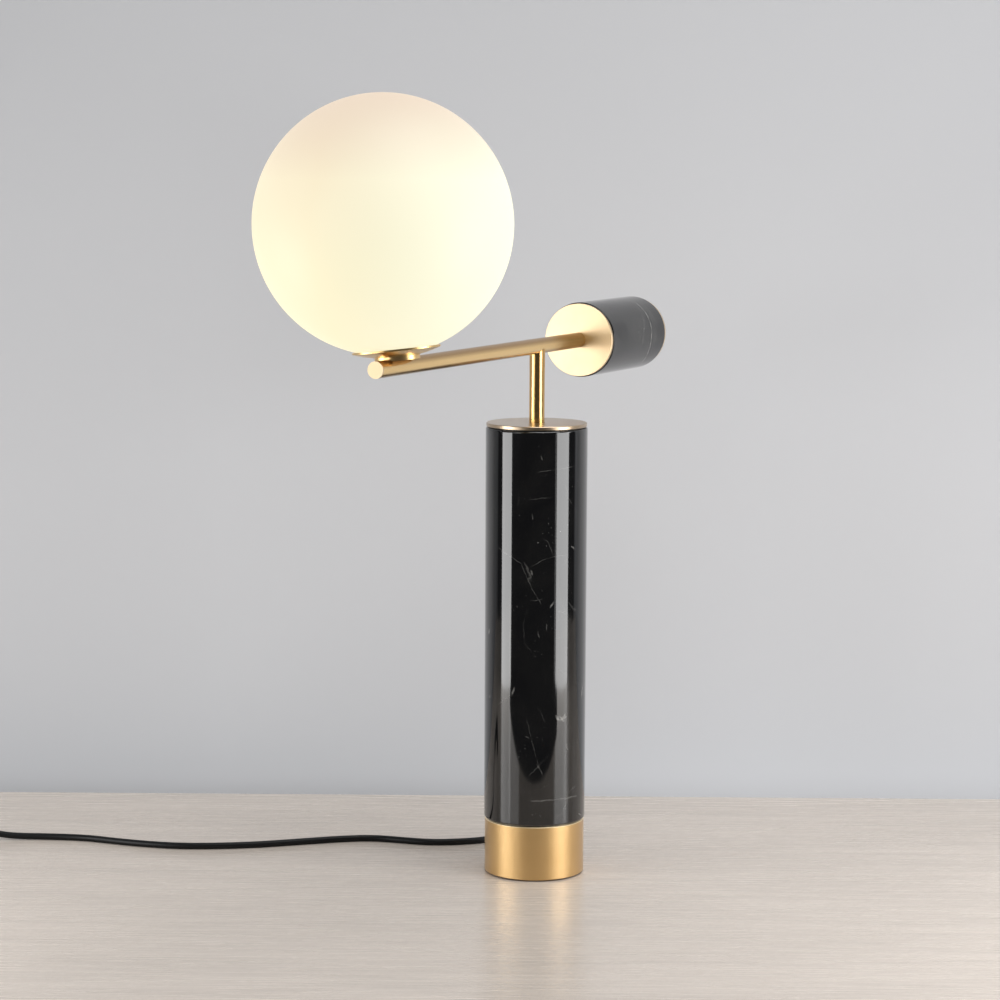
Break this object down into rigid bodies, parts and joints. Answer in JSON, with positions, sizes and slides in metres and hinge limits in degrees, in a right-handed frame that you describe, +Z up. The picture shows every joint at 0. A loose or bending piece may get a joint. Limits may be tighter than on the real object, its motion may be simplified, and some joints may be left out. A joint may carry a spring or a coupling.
{
  "type": "table lamp",
  "caption": "Table lamp: opal glass globe and stone counterweight on a level brass arm that swivels on a stone column with a brass base.",
  "frame": {"origin": "centre of the base's underside, on the surface it stands on", "axes": "+Z up along the column; the arm lies along X, with the globe toward -X and the counterweight toward +X"},
  "size_m": [0.5435, 0.6795, 0.6233],
  "materials": {
    "satin_brass": "satin, fine circular brush marks",
    "polished_brass": "smooth satin",
    "tube_brass": "satin tube",
    "dark_stone": "polished, thin pale veins",
    "grey_stone": "polished, thin pale veins",
    "opal_glass": "opal, satin",
    "black_rubber": "matte",
    "felt": "felt",
    "steel": "zinc plated",
    "iron": "raw casting",
    "black_plastic": "satin moulded",
    "white_plastic": "moulded",
    "ivory_ceramic": "glazed",
    "lead_sheath": "flexible sheath",
    "pin_metal": "nickel-plated",
    "nylon": "nylon"
  },
  "bodies": {
    "stand": {"foot_pad": "felt", "base_plate": "steel", "base_shell": "satin_brass", "ballast": "iron", "base_gasket": "black_rubber", "cord_bush": "black_rubber", "cord_clamp": "nylon", "clamp_screw_1": "steel", "clamp_screw_2": "steel", "entry_cord": "black_rubber", "terminal_block": "nylon", "column": "dark_stone", "tie_rod": "steel", "tie_washer": "steel", "tie_nut": "steel", "column_lead": "lead_sheath", "top_cap": "polished_brass", "cap_gasket": "black_rubber", "lock_bush": "steel", "friction_washer": "nylon", "cord_tube": "black_rubber", "cord_coil": "black_rubber", "switch_base": "black_plastic", "switch_cover": "black_plastic", "rocker_pin": "steel", "switch_relief_in": "black_rubber", "switch_relief_out": "black_rubber", "plug_relief": "black_rubber", "plug_body": "black_plastic", "plug_pin_1": "pin_metal", "plug_pin_2": "pin_metal"},
    "rocker": {"switch_rocker": "black_plastic"},
    "arm": {"stem": "tube_brass", "arm": "tube_brass", "arm_end_cap": "polished_brass", "arm_lead": "lead_sheath", "weight_front_disc": "polished_brass", "weight_front_gasket": "black_rubber", "weight_stone": "grey_stone", "weight_rear_gasket": "black_rubber", "weight_rear_disc": "polished_brass", "hub": "tube_brass", "saucer": "tube_brass", "nipple": "steel", "gallery_nut": "steel", "collar": "tube_brass", "spring_clips": "steel", "globe_gasket": "nylon", "holder_base": "ivory_ceramic", "holder_body": "ivory_ceramic", "holder_screw_shell": "pin_metal", "holder_contact": "pin_metal"},
    "bulb": {"bulb_tip": "pin_metal", "bulb_insulator": "black_plastic", "bulb_cap": "pin_metal", "bulb_body": "white_plastic", "bulb_dome": "opal_glass"},
    "globe": {"globe": "opal_glass", "globe_lower": "opal_glass", "globe_neck": "opal_glass"}
  },
  "joints": [
    {"name": "arm_swivel", "type": "hinge", "parent": "stand", "child": "arm", "pos_m": [0, 0, 0.3625], "axis": [0, 0, 1], "range_deg": [-160, 160]},
    {"name": "globe_lift", "type": "slide", "parent": "arm", "child": "globe", "axis": [0, 0.1184, 0.993], "range_m": [0, 0.13]},
    {"name": "bulb_out", "type": "slide", "parent": "arm", "child": "bulb", "axis": [0, 0.1184, 0.993], "range_m": [0, 0.03]},
    {"name": "rocker_tilt", "type": "hinge", "parent": "stand", "child": "rocker", "pos_m": [-0.13593, 0.51095, 0.011], "axis": [0.8988, 0.4384, 0], "range_deg": [0, 16]}
  ]
}
